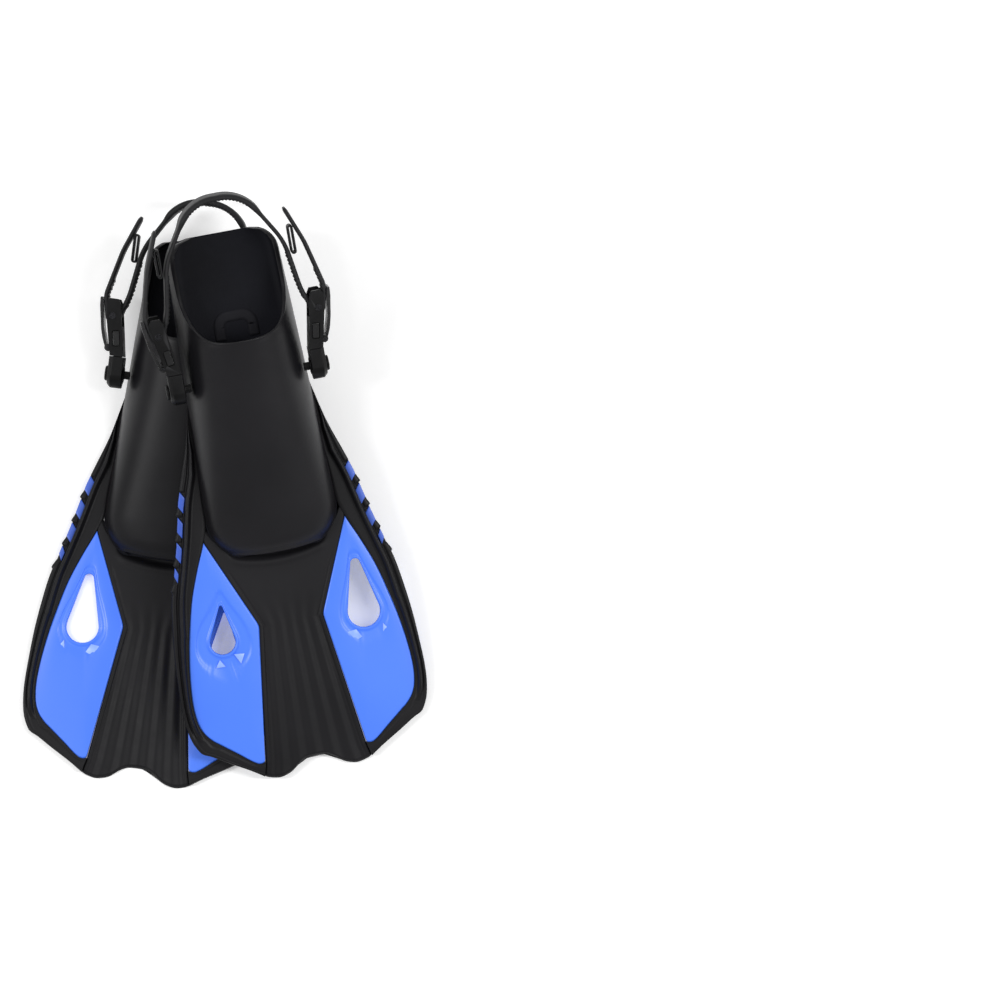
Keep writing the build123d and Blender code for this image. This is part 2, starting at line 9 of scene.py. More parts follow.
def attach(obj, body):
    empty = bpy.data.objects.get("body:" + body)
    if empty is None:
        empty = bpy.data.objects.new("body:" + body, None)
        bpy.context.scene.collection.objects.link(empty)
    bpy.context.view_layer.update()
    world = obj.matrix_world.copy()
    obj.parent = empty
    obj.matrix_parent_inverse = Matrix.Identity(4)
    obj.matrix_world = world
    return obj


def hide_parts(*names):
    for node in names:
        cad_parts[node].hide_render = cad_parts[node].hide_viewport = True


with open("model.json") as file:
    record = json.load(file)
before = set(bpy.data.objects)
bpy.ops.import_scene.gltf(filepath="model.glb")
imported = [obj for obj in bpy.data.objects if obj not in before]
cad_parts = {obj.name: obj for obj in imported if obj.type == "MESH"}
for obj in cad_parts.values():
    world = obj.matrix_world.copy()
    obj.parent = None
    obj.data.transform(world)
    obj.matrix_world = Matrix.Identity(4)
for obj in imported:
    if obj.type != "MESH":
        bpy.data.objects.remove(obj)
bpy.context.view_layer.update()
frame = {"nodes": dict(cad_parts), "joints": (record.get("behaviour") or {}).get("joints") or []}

mm = 0.001
joints = {joint["name"]: joint for joint in frame["joints"]}

# sizes of a fin in millimetres, the same for every piece: x outwards, u from heel to tip, z up
finShape = {
    "length": 465.0, "heelOverhang": 5.0, "pocketLength": 272.0, "heelHalf": 47.5, "ballHalf": 57.0,
    "ballStation": 225.0, "heelCorner": 20.0, "toeCorner": 38.0, "instepStation": 87.0,
    "instepHeight": 77.0, "toeHeight": 40.0, "noseRadius": 16.0, "wall": 4.0, "sole": 8.0,
    "postStation": 119.0, "postHeight": 38.0, "strapTilt": 6.0,
}


def clamp(value, low=0.0, high=1.0):
    return max(low, min(high, value))


def ease(low, high, value):
    share = clamp((value - low) / (high - low))
    return share * share * (3 - 2 * share)


def mix(a, b, share):
    return a + (b - a) * share


class Fin:  # where one fin lies, read from its joints
    def __init__(self, side):
        self.side = side
        self.sign = 1 if side == "right" else -1
        swing = joints[side + "_strap_swing"]
        other = joints[side + "_inner_receiver_swing"]
        self.x = Vector(swing["axis"]).normalized()
        strapUp = -Vector(joints[side + "_outer_button_press"]["axis"])
        self.strapTurn = Matrix.Rotation(math.radians(finShape["strapTilt"]), 3, self.x)
        self.z = (self.strapTurn.inverted() @ strapUp).normalized()
        self.y = self.z.cross(self.x)
        self.post = (Vector(swing["pos_m"]) + Vector(other["pos_m"])) / 2
        toHeel = self.y * finShape["postStation"] - self.z * finShape["postHeight"]
        self.origin = self.post + toHeel * mm

    def at(self, x, u, z):
        return self.origin + (self.x * (self.sign * x) - self.y * u + self.z * z) * mm

    def strapAt(self, x, u, z):
        return self.post + self.strapTurn @ (self.at(x, u, z) - self.post)

    def name(self, words):
        return self.side + "_" + words


fins = [Fin("left"), Fin("right")]


# mesh helpers

def makeMesh(name, points, faces):
    mesh = bpy.data.meshes.new(name)
    mesh.from_pydata([tuple(p) for p in points], [], faces)
    work = bmesh.new()
    work.from_mesh(mesh)
    bmesh.ops.remove_doubles(work, verts=work.verts, dist=1e-6)
    bmesh.ops.recalc_face_normals(work, faces=work.faces)
    work.to_mesh(mesh)
    work.free()
    mesh.shade_smooth()
    piece = bpy.data.objects.new(name, mesh)
    bpy.context.scene.collection.objects.link(piece)
    return piece


def gridFaces(rowCount, columnCount, wrapRows, wrapColumns, start=0):
    faces = []
    for r in range(rowCount if wrapRows else rowCount - 1):
        for c in range(columnCount if wrapColumns else columnCount - 1):
            r2, c2 = (r + 1) % rowCount, (c + 1) % columnCount
            corner = [(r, c), (r, c2), (r2, c2), (r2, c)]
            faces.append([start + a * columnCount + b for a, b in corner])
    return faces


def loftMesh(name, place, rows, wrapRows=False, wrapColumns=True, capEnds=True):
    count = len(rows[0])
    points = [place(*p) for row in rows for p in row]
    faces = gridFaces(len(rows), count, wrapRows, wrapColumns)
    if capEnds and not wrapRows:
        faces.append(list(range(count)))
        faces.append([(len(rows) - 1) * count + c for c in range(count)])
    return makeMesh(name, points, faces)


def modify(piece, kind, **settings):
    step = piece.modifiers.new(kind.lower(), kind)
    for key, value in settings.items():
        setattr(step, key, value)
    return step


def applyModifiers(piece):
    graph = bpy.context.evaluated_depsgraph_get()
    mesh = bpy.data.meshes.new_from_object(piece.evaluated_get(graph))
    piece.modifiers.clear()
    piece.data = mesh
    return piece


def settle(piece, body, slotName, material, *nodes):
    piece.data.materials.clear()
    piece.data.materials.append(material)
    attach(piece, body)
    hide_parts(*nodes)
    return piece


def catmull(points, share):  # smooth run through given points, share from 0 to 1
    last = len(points) - 1
    spot = clamp(share) * last
    i = min(int(spot), last - 1)
    t = spot - i
    p = [np.array(points[clamp(k, 0, last)], float) for k in (i - 1, i, i + 1, i + 2)]
    return 0.5 * (2 * p[1] + (p[2] - p[0]) * t + (2 * p[0] - 5 * p[1] + 4 * p[2] - p[3]) * t * t
                  + (3 * p[1] - p[0] - 3 * p[2] + p[3]) * t ** 3)


# shader helpers

class Socket:  # a value in a node graph that can be used in sums
    def __init__(self, graph, link):
        self.graph = graph
        self.link = link

    def use(self, operation, first, second):
        return self.graph.add("ShaderNodeMath", {"operation": operation}, {0: first, 1: second})

    def __add__(self, other): return self.use("ADD", self, other)
    def __radd__(self, other): return self.use("ADD", other, self)
    def __sub__(self, other): return self.use("SUBTRACT", self, other)
    def __rsub__(self, other): return self.use("SUBTRACT", other, self)
    def __mul__(self, other): return self.use("MULTIPLY", self, other)
    def __rmul__(self, other): return self.use("MULTIPLY", other, self)
    def __truediv__(self, other): return self.use("DIVIDE", self, other)
    def __pow__(self, other): return self.use("POWER", self, other)


class Graph:  # one material's nodes
    def __init__(self, name):
        self.material = bpy.data.materials.new(name)
        self.material.use_nodes = True
        self.tree = self.material.node_tree
        self.shader = self.tree.nodes["Principled BSDF"]

    def add(self, kind, settings=None, inputs=None, output=0):
        node = self.tree.nodes.new(kind)
        for key, value in (settings or {}).items():
            if key == "stops":
                ramp = node.color_ramp
                for index, (place, colour) in enumerate(value):
                    stop = ramp.elements[index] if index < 2 else ramp.elements.new(place)
                    stop.position, stop.color = place, colour
            else:
                setattr(node, key, value)
        for key, value in (inputs or {}).items():
            if isinstance(value, Socket):
                self.tree.links.new(value.link, node.inputs[key])
            else:
                node.inputs[key].default_value = value
        return Socket(self, node.outputs[output])

    def coords(self):
        return self.add("ShaderNodeTexCoord", output=3)

    def noise(self, scale, detail=3.0, roughness=0.5):
        inputs = {"Vector": self.coords(), "Scale": scale, "Detail": detail, "Roughness": roughness}
        return self.add("ShaderNodeTexNoise", {}, inputs)

    def spread(self, value, low, high):  # a 0..1 pattern brought between two values
        inputs = {0: value, 1: 0.3, 2: 0.7, 3: low, 4: high}
        return self.add("ShaderNodeMapRange", {"clamp": True}, inputs)

    def blendColours(self, share, first, second):
        return self.add("ShaderNodeMix", {"data_type": "RGBA"}, {0: share, 6: first, 7: second}, 2)

    def set(self, **inputs):
        for key, value in inputs.items():
            socket = self.shader.inputs[key.replace("_", " ")]
            if isinstance(value, Socket):
                self.tree.links.new(value.link, socket)
            else:
                socket.default_value = value
        return self

    def bump(self, height, distance, strength=1.0, under=None):
        inputs = {"Height": height, "Distance": distance, "Strength": strength}
        if under is not None:
            inputs["Normal"] = under
        return self.add("ShaderNodeBump", {}, inputs)


def rgb(red, green, blue):
    return (red, green, blue, 1.0)


def softRubber(name, look):  # moulded rubber: fine grain, faint clouding, dulled patches
    g = Graph(name)
    cloud = g.noise(look["cloudScale"], 4.0)
    grain = g.noise(look["grainScale"], 2.0)
    dust = g.noise(look["cloudScale"] * 9, 5.0, 0.7)
    tint = g.blendColours(g.spread(cloud, 0.0, 1.0), look["dark"], look["light"])
    g.set(Base_Color=tint)
    g.set(Roughness=g.spread(cloud * 0.6 + dust * 0.4, look["smooth"], look["dull"]))
    fine = g.bump(grain, look["grainDepth"])
    g.set(Normal=g.bump(cloud, look["waveDepth"], 0.6, fine))
    g.set(Specular_IOR_Level=look["specular"])
    return g.material


def gummyBlue(name, look):  # blue blade plastic with a faint painted glow
    g = Graph(name)
    cloud = g.noise(look["cloudScale"], 3.0)
    grain = g.noise(look["grainScale"], 2.0)
    tint = g.blendColours(g.spread(cloud, 0.0, 1.0), look["deep"], look["bright"])
    g.set(Base_Color=tint, Coat_Weight=look["coat"], Coat_Roughness=0.25)
    g.set(Roughness=g.spread(cloud, look["smooth"], look["dull"]))
    g.set(Normal=g.bump(grain, look["grainDepth"]))
    # painted glow: the plastic gives off a little light of its own
    g.set(Emission_Color=look["glow"], Emission_Strength=look["glowStrength"])
    return g.material


def mouldedPlastic(name, look):  # black buckle plastic: spark-eroded grain, painted highlight on convex edges
    g = Graph(name)
    grain = g.noise(look["grainScale"], 2.0)
    cloud = g.noise(look["cloudScale"], 3.0)
    # painted highlight: convex edges, picked by pointiness, are coloured lighter in cloudy patches
    pointiness = g.add("ShaderNodeNewGeometry", output=7)
    edge = g.add("ShaderNodeMapRange", {"clamp": True}, {0: pointiness, 1: 0.52, 2: 0.62, 3: 0.0, 4: 1.0})
    g.set(Base_Color=g.blendColours(edge * (0.4 + 0.6 * cloud), look["dark"], look["worn"]))
    g.set(Specular_IOR_Level=look["specular"])
    g.set(Roughness=g.spread(cloud, look["smooth"], look["dull"]))
    g.set(Normal=g.bump(grain, look["grainDepth"]))
    return g.material


def brushedMetal(name, look):
    g = Graph(name)
    scratch = g.noise(look["scale"], 3.0)
    g.set(Metallic=1.0, Base_Color=g.blendColours(scratch, look["dark"], look["light"]))
    g.set(Roughness=g.spread(scratch, 0.22, 0.42), Normal=g.bump(scratch, 0.00002))
    return g.material


print("stage: materials")
pocketRubber = softRubber("pocketRubber", {
    "dark": rgb(0.0060, 0.0058, 0.0070), "light": rgb(0.0105, 0.0100, 0.0120), "cloudScale": 9.0,
    "grainScale": 2600.0, "grainDepth": 0.00003, "waveDepth": 0.0004, "smooth": 0.33, "dull": 0.44,
    "specular": 0.22})
footbedRubber = softRubber("footbedRubber", {
    "dark": rgb(0.0058, 0.0060, 0.0085), "light": rgb(0.0100, 0.0105, 0.0150), "cloudScale": 14.0,
    "grainScale": 1500.0, "grainDepth": 0.00012, "waveDepth": 0.0003, "smooth": 0.55, "dull": 0.7,
    "specular": 0.10})
gripRubber = softRubber("gripRubber", {
    "dark": rgb(0.013, 0.013, 0.016), "light": rgb(0.018, 0.018, 0.022), "cloudScale": 20.0,
    "grainScale": 1200.0, "grainDepth": 0.00014, "waveDepth": 0.0001, "smooth": 0.6, "dull": 0.75,
    "specular": 0.10})
bladeRubber = softRubber("bladeRubber", {
    "dark": rgb(0.0068, 0.0066, 0.0078), "light": rgb(0.0112, 0.0108, 0.0126), "cloudScale": 11.0,
    "grainScale": 2400.0, "grainDepth": 0.00005, "waveDepth": 0.0003, "smooth": 0.42, "dull": 0.56,
    "specular": 0.16})
railRubber = softRubber("railRubber", {
    "dark": rgb(0.0062, 0.0060, 0.0070), "light": rgb(0.0105, 0.0102, 0.0116), "cloudScale": 15.0,
    "grainScale": 2400.0, "grainDepth": 0.00004, "waveDepth": 0.0002, "smooth": 0.34, "dull": 0.48,
    "specular": 0.16})
strapRubber = softRubber("strapRubber", {
    "dark": rgb(0.014, 0.014, 0.015), "light": rgb(0.021, 0.021, 0.022), "cloudScale": 26.0,
    "grainScale": 2000.0, "grainDepth": 0.00006, "waveDepth": 0.0002, "smooth": 0.45, "dull": 0.6,
    "specular": 0.16})
panelBlue = gummyBlue("panelBlue", {
    "deep": rgb(0.052, 0.180, 0.88), "bright": rgb(0.064, 0.205, 0.94), "cloudScale": 7.0,
    "grainScale": 900.0, "grainDepth": 0.00003, "smooth": 0.34, "dull": 0.42, "coat": 0.15,
    "glow": rgb(0.08, 0.24, 1.0), "glowStrength": 0.05})
# painted shade: a darker copy of the blade blue for the inserts on the rail's side faces
shadedInsertBlue = gummyBlue("shadedInsertBlue", {
    "deep": rgb(0.030, 0.090, 0.50), "bright": rgb(0.045, 0.130, 0.62), "cloudScale": 7.0,
    "grainScale": 900.0, "grainDepth": 0.00003, "smooth": 0.34, "dull": 0.42, "coat": 0.1,
    "glow": rgb(0.08, 0.24, 1.0), "glowStrength": 0.0})
# painted reflection: a pale blue with a faint glow that stands in for lamp light mirrored in the dish under each
# vent
paintedReflectionBlue = gummyBlue("paintedReflectionBlue", {
    "deep": rgb(0.22, 0.38, 0.90), "bright": rgb(0.36, 0.51, 0.95), "cloudScale": 60.0,
    "grainScale": 900.0, "grainDepth": 0.00002, "smooth": 0.3, "dull": 0.4, "coat": 0.1,
    "glow": rgb(0.4, 0.5, 1.0), "glowStrength": 0.02})
# the lighter colour of each pair is a painted highlight on convex edges, stronger on the lever
bucklePlastic = mouldedPlastic("bucklePlastic", {
    "dark": rgb(0.0028, 0.0028, 0.003), "worn": rgb(0.03, 0.03, 0.032), "cloudScale": 60.0, "specular": 0.14,
    "grainScale": 3200.0, "grainDepth": 0.00005, "smooth": 0.32, "dull": 0.5})
leverPlastic = mouldedPlastic("leverPlastic", {
    "dark": rgb(0.006, 0.006, 0.0065), "worn": rgb(0.07, 0.07, 0.073), "cloudScale": 60.0, "specular": 0.35,
    "grainScale": 3200.0, "grainDepth": 0.00003, "smooth": 0.2, "dull": 0.34})
pinSteel = brushedMetal("pinSteel", {
    "scale": 900.0, "dark": rgb(0.018, 0.018, 0.02), "light": rgb(0.035, 0.035, 0.038)})
springSteel = brushedMetal("springSteel", {
    "scale": 900.0, "dark": rgb(0.42, 0.42, 0.44), "light": rgb(0.62, 0.62, 0.64)})


# the foot pocket

def cornerInset(distance, radius):
    if distance >= radius:
        return 0.0
    return radius - math.sqrt(max(radius ** 2 - (radius - distance) ** 2, 0.0))


def halfWidth(u):
    s = finShape
    width = mix(s["heelHalf"], s["ballHalf"], clamp(u / s["ballStation"]))
    width -= cornerInset(u + s["heelOverhang"], s["heelCorner"])
    return width - cornerInset(s["pocketLength"] + 3.0 - u, s["toeCorner"])


def crest(u):
    s = finShape
    slope = (s["instepHeight"] - s["toeHeight"]) / (s["ballStation"] - s["instepStation"])
    drop = slope * max(u - s["instepStation"], 0.0)
    return s["instepHeight"] - drop - cornerInset(s["pocketLength"] + 2.0 - u, s["noseRadius"])


pocketLook = {
    "fullness": 2.4,  # 2 is an ellipse, more is boxier
    "aroundSteps": 72, "alongSteps": 90, "beadSize": 1.3, "beadSteps": 7, "frontBow": 7.0, "frontBack": 2.2,
    "rimLine": [(-6.0, 16.0), (14.0, 28.0), (48.0, 38.0), (78.0, 63.0), (90.0, 83.0)],
}


def rimTable():
    samples = [catmull(pocketLook["rimLine"], k / 60) for k in range(61)]
    return [s[1] for s in samples], [s[0] for s in samples]


rimHeights, rimStations = rimTable()


def archPoint(u, turn, inset, base):
    power = 2 / pocketLook["fullness"]
    c, s = math.cos(turn), math.sin(turn)
    x = (halfWidth(u) - inset) * math.copysign(abs(c) ** power, c)
    return x, base + (crest(u) - inset - base) * abs(s) ** power


def rimStation(turn):
    u = 40.0
    for _ in range(6):
        u = float(np.interp(archPoint(u, turn, 0.0, 0.0)[1], rimHeights, rimStations))
    return max(u, -finShape["heelOverhang"])


def frontStation(x):
    look = pocketLook
    return finShape["pocketLength"] - look["frontBack"] - look["frontBow"] * abs(x / 44.0) ** 2.6


def buildPocket(fin):
    look, s = pocketLook, finShape
    sideTurn = math.asin((s["sole"] / s["instepHeight"]) ** (look["fullness"] / 2))
    rows = []
    for i in range(look["aroundSteps"] + 1):
        share = i / look["aroundSteps"]
        outTurn = mix(sideTurn, math.pi - sideTurn, share)
        inTurn = mix(0.012, math.pi - 0.012, share)
        start = rimStation(outTurn)
        end = frontStation(archPoint(s["pocketLength"], outTurn, 0.0, 0.0)[0])
        outer, inner = [], []
        for k in range(look["alongSteps"] + 1):
            u = mix(start, end, k / look["alongSteps"])
            z0 = s["sole"] / crest(u)
            low = math.asin(clamp(z0) ** (look["fullness"] / 2))
            turn = mix(low, math.pi - low, share)
            x, z = archPoint(u, turn, 0.0, 0.0)
            outer.append(np.array((x, u, z)))
            x, z = archPoint(u, inTurn, s["wall"], s["sole"])
            inner.append(np.array((x, u, z)))
        bead = []
        middle = (outer[0] + inner[0]) / 2
        across = (outer[0] - inner[0]) / 2
        back = outer[0] - outer[1]
        back = back / max(np.linalg.norm(back), 1e-6) * look["beadSize"]
        for k in range(1, look["beadSteps"]):
            a = math.pi * k / look["beadSteps"]
            bead.append(middle - across * 1.25 * math.cos(a) + back * math.sin(a))
        lip = []
        middle = (outer[-1] + inner[-1]) / 2
        across = (outer[-1] - inner[-1]) / 2
        for k in range(1, 5):
            a = math.pi * k / 5
            lip.append(middle + across * math.cos(a) + np.array((0, 1.4 * math.sin(a), 0)))
        rows.append([tuple(p) for p in inner[::-1] + bead + outer + lip])
    piece = loftMesh(fin.name("footPocket"), fin.at, rows, capEnds=False)
    return settle(piece, fin.name("fin"), "pocket_rubber", pocketRubber, fin.name("foot_pocket"))


footbedLook = {"cove": 3.0, "edgeRound": 1.6, "rowStep": 1.5, "acrossSteps": 40, "grooveWidth": 3.0,
               "grooveDepth": 1.3, "grooveCount": 7, "grooveHalf": 35.0, "heelDip": 1.2}


def buildFootbed(fin):
    look, s = footbedLook, finShape
    spacing = (s["ballStation"] - 20.0) / look["grooveCount"]
    first, last = -s["heelOverhang"], s["pocketLength"] - 1.0
    count = int((last - first) / look["rowStep"])
    rows = []
    for r in range(count + 1):
        u = mix(first, last, r / count)
        w = halfWidth(u)
        offset = (u - 20.0 + look["grooveWidth"] / 2) % spacing
        groove = offset < look["grooveWidth"] and 18.0 < u < s["ballStation"]
        row = []
        for k in range(look["acrossSteps"] + 1):
            q = 2 * k / look["acrossSteps"] - 1
            edge = ease(0.78, 0.97, abs(q)) * look["cove"] * (1 if abs(q) < 0.93 else 0)
            dish = -0.8 * (1 - q * q) * ease(90, 10, u) if u < 90 else 0.0
            z = s["sole"] + edge * ease(-4, 10, u) + dish
            bow = look["heelDip"] * (math.exp(-(q / 0.16) ** 2)) if r == 0 else 0.0
            row.append((w * q * 0.992, u + bow, z - (0.7 if abs(q) > 0.99 else 0.0)))
        row.append((w, u, s["sole"] - 1.0))
        row.append((w, u, look["edgeRound"]))
        for k in range(look["acrossSteps"] + 1):
            q = 1 - 2 * k / look["acrossSteps"]
            x = (w - look["edgeRound"] * 0.6) * q
            row.append((x, u, look["grooveDepth"] if groove and abs(x) < look["grooveHalf"] else 0.0))
        row.append((-w, u, look["edgeRound"]))
        row.append((-w, u, s["sole"] - 1.0))
        rows.append(row)
    piece = loftMesh(fin.name("footBed"), fin.at, rows)
    return settle(piece, fin.name("fin"), "footbed_rubber", footbedRubber, fin.name("footbed"))


gripLook = {"halfWidth": 14.5, "corner": 9.0, "band": 9.0, "height": 1.2, "heelEnd": 66.5, "toeEnd": 86.0}


# across the band, height as a share of its full height
gripSection = [(-1, -0.4), (-1, 0.5), (-0.86, 0.95), (-0.4, 1.0),
               (0.4, 1.0), (0.86, 0.95), (1, 0.5), (1, -0.4)]


def buildGrip(fin):
    look, s = gripLook, finShape
    h, r = look["halfWidth"], look["corner"]
    path = [(-h, look["toeEnd"] - k * 1.5) for k in range(8)]
    path += [(-h + r - r * math.cos(a), look["heelEnd"] + r - r * math.sin(a))
             for a in np.linspace(0, math.pi / 2, 10)]
    path += [(-x, u) for x, u in reversed(path)]
    rows = []
    for i, (x, u) in enumerate(path):
        ax, au = path[max(i - 1, 0)]
        bx, bu = path[min(i + 1, len(path) - 1)]
        length = math.hypot(bx - ax, bu - au) or 1.0
        nx, nu = (bu - au) / length, -(bx - ax) / length
        row = []
        for d, z in gripSection:
            half = look["band"] / 2 * d
            row.append((x + nx * half, u + nu * half, s["sole"] - 0.7 + look["height"] * 1.6 * z))
        rows.append(row)
    piece = loftMesh(fin.name("gripPad"), fin.at, rows)
    return settle(piece, fin.name("fin"), "grip_rubber", gripRubber, fin.name("grip_pad"))


# the blade

# outer edge and inner edge of a rail, paired, from the pocket round to the lobe of the tip
railPairs = [
    ((51.5, 126.0), (51.0, 126.5)), ((56.6, 150.0), (53.3, 150.0)), ((62.3, 173.0), (54.3, 174.0)),
    ((70.3, 197.0), (55.4, 199.0)), ((76.1, 215.0), (56.0, 218.0)), ((80.9, 236.0), (56.8, 238.0)),
    ((84.8, 253.0), (61.7, 253.0)), ((90.6, 274.0), (71.3, 275.0)), ((97.0, 297.5), (80.4, 299.0)),
    ((101.0, 322.0), (87.0, 324.0)), ((103.7, 345.0), (91.6, 346.0)), ((105.3, 370.0), (95.0, 370.0)),
    ((106.0, 392.0), (96.2, 391.0)), ((104.9, 408.0), (94.6, 406.0)), ((102.3, 420.0), (90.6, 416.0)),
    ((98.0, 429.0), (84.8, 422.8)), ((94.6, 432.6), (80.5, 426.2)), ((88.0, 435.8), (76.0, 429.8)),
    ((75.0, 443.8), (65.6, 438.0)), ((57.7, 454.0), (52.0, 448.6)), ((47.0, 461.0), (44.0, 449.0)),
]
panelFoot = (44.0, 449.0)
waist = (28.0, 333.0)


def railPair(share):
    out = catmull([pair[0] for pair in railPairs], share)
    inside = catmull([pair[1] for pair in railPairs], share)
    return out, inside


railLook = {"flange": 8.5, "ridge": 13.6, "ledge": 8.0, "groove": 1.1, "steps": 420,
            "toothStart": 206.0, "toothPitch": 21.0, "toothCount": 4, "toothProud": 1.4}


def toothAt(u):  # 0 beside an insert, rising to 1 at the tip of a black tooth
    look = railLook
    phase = (u - look["toothStart"]) / look["toothPitch"]
    if phase < 0 or phase > look["toothCount"] + 0.4:
        return 0.0, 0.0
    part = phase % 1.0
    tooth = ease(0.62, 0.96, part) * (1 - ease(0.97, 1.0, part)) if part > 0.6 else 0.0
    hollow = 1.0 if part < 0.62 and phase < look["toothCount"] else 0.0
    return tooth, hollow


def buildRail(fin, place):
    look = railLook
    flip = 1 if place == "outer" else -1
    rows = []
    for r in range(look["steps"] + 1):
        share = r / look["steps"]
        out, inside = railPair(share)
        width = float(np.linalg.norm(inside - out))
        u = float(out[1])
        upper = share < 0.72
        tooth, hollow = toothAt(u) if upper else (0.0, 0.0)
        rise = ease(132, 165, u) * (1 - ease(404, 426, u)) if upper else 0.0
        k = min(1.0, width / 14.0)
        fade = ease(0.0, 0.04, share)
        top = mix(3.0, look["flange"], fade)
        ledge = mix(3.0, look["ledge"], fade)
        spots = [(0.0, 0.0), (-0.4, 1.0), (-0.4, top * 0.7), (0.1, top - 0.5), (1.0, top), (2.6, top),
                 (3.4, top - 0.2), (4.2, top - look["groove"] * rise), (4.9, top - 0.9 * look["groove"] * rise),
                 (5.5, top + 0.25 * (look["ridge"] - top) * rise), (6.1, top + 0.8 * (look["ridge"] - top) * rise),
                 (6.8, top + (look["ridge"] - top) * rise), (7.8, top + 1.02 * (look["ridge"] - top) * rise),
                 (8.8, top + 0.96 * (look["ridge"] - top) * rise), (9.7, top + 0.6 * (look["ridge"] - top) * rise),
                 (10.5, ledge + 0.16 * (look["ridge"] - ledge) * rise), (11.6, ledge), (12.8, ledge)]
        row = []
        direction = (inside - out) / max(width, 0.01)
        for index, (d, z) in enumerate(spots):
            d = d * k * min(1.0, width / 8.0) if width < 13.5 else d
            if index < 6:
                d -= look["toothProud"] * tooth * (1 if index < 5 else 0)
                d += 0.5 * hollow
                z = min(z, top - 1.5 * hollow)
            p = out + direction * d
            row.append((flip * p[0], p[1], z))
        for t in (0.35, 0.7, 0.95):
            p = out + direction * mix(12.8 * k if width < 13.5 else 12.8, width, t)
            row.append((flip * p[0], p[1], ledge))
        row.append((flip * inside[0], inside[1], ledge - 0.7))
        row.append((flip * inside[0], inside[1], 0.6))
        p = out + direction * width * 0.95
        row.append((flip * p[0], p[1], 0.0))
        rows.append(row)
    piece = loftMesh(fin.name(place + "Rail"), fin.at, rows)
    return settle(piece, fin.name("fin"), "rail_rubber", railRubber, fin.name(place + "_rail"))


insertLook = {"outerDepth": 4.6, "innerDepth": 3.2, "slant": 6.0, "length": 12.6, "bottom": 2.0,
              "top": 8.9, "round": 0.6}


def edgeAt(u):  # outer edge of the blade beside the rail
    edge = [pair[0] for pair in railPairs[:15]]
    return float(np.interp(u, [p[1] for p in edge], [p[0] for p in edge]))


def buildInserts(fin, place):
    look = insertLook
    flip = 1 if place == "outer" else -1
    points, faces = [], []
    for index in range(railLook["toothCount"]):
        start = railLook["toothStart"] + index * railLook["toothPitch"] + 0.5
        steps, base = 6, len(points)
        shrink = 1.0 if index < 3 else 0.6
        for z in (look["bottom"], look["top"]):
            for k in range(steps + 1):
                u = start + look["length"] * shrink * k / steps
                x = edgeAt(u)
                points.append(fin.at(flip * (x + 0.15), u, z))
                points.append(fin.at(flip * (x - look[place + "Depth"] * shrink), u + look["slant"], z))
        half = 2 * (steps + 1)
        for k in range(steps):
            a = base + 2 * k
            faces += [[a, a + 1, a + 3, a + 2], [a + half, a + half + 2, a + half + 3, a + half + 1],
                      [a, a + 2, a + half + 2, a + half], [a + 1, a + half + 1, a + half + 3, a + 3]]
        e = base + 2 * steps
        faces += [[base, base + half, base + half + 1, base + 1], [e, e + 1, e + half + 1, e + half]]
    piece = makeMesh(fin.name(place + "RailInserts"), points, faces)
    modify(piece, "BEVEL", width=look["round"] * mm, segments=3, limit_method="ANGLE")
    applyModifiers(piece)
    return settle(piece, fin.name("fin"), "insert_blue", shadedInsertBlue, fin.name(place + "_rail_inserts"))


channelLook = {"top": 7.4, "tipTop": 5.2, "fluteDepth": 1.5, "flutes": 3.0, "creaseInset": 4.5,
               "creaseDepth": 0.7, "acrossSteps": 90, "alongSteps": 170, "lipStation": 277.5}


def channelEdge(u):
    apexU = railPairs[6][1][1]
    if u < waist[1]:
        return mix(railPairs[6][1][0], waist[0], clamp((u - apexU) / (waist[1] - apexU)))
    if u < panelFoot[1]:
        return mix(waist[0], panelFoot[0], (u - waist[1]) / (panelFoot[1] - waist[1]))
    return mix(panelFoot[0], 47.0, clamp((u - panelFoot[1]) / 12.0))


def tipLine(q):  # end of the channel across its width: two lobes and a scallop
    shape = [(0.0, 452.0), (0.2, 452.9), (0.36, 457.0), (0.5, 462.3), (0.72, 465.0),
             (0.9, 463.4), (1.0, 461.2)]
    return float(np.interp(q, *zip(*[tuple(catmull(shape, k / 60)) for k in range(61)])))


tipTable = [tipLine(k / 200) for k in range(201)]


def buildChannel(fin):
    look = channelLook
    count = look["acrossSteps"]
    rows = []
    qs = [math.sin(math.pi / 2 * (2 * k / count - 1)) for k in range(count + 1)]
    for r in range(look["alongSteps"] + 1):
        t = r / look["alongSteps"]
        row, under = [], []
        for q in qs:
            begin = mix(268.0, 238.0, abs(q) ** 5)
            end = float(np.interp(abs(q), np.linspace(0, 1, 201), tipTable))
            u = mix(begin, end, t)
            edge = channelEdge(u)
            x = q * edge
            fromSide = edge - abs(x)
            fromTip = end - u
            z = mix(look["top"], look["tipTop"], ease(380, 465, u))
            flute = 0.5 - 0.5 * math.cos(2 * math.pi * look["flutes"] * q)
            z -= look["fluteDepth"] * flute * ease(300, 380, u) * (1 - ease(0.8, 0.95, abs(q)))
            crease = math.exp(-((fromSide - look["creaseInset"]) / 0.8) ** 2)
            z -= look["creaseDepth"] * crease * ease(278, 292, u)
            trough = 1 - ease(-5.0, 1.0, u - look["lipStation"] + 0.004 * x * x)
            z -= 5.2 * trough * (1 - ease(34, 44, abs(x)))
            lip = math.exp(-((u - look["lipStation"] - 3.0 + 0.004 * x * x) / 2.6) ** 2)
            z += 0.6 * lip * (1 - ease(34, 44, abs(x)))
            z -= 1.1 * (1 - ease(0.0, 1.3, fromSide)) + 2.0 * (1 - ease(0.0, 2.2, fromTip))
            row.append((x, u, z))
            under.append((x, u, 0.0))
        rows.append(row + under[::-1])
    piece = loftMesh(fin.name("bladeChannel"), fin.at, rows)
    return settle(piece, fin.name("fin"), "blade_rubber", bladeRubber, fin.name("blade_channel"))


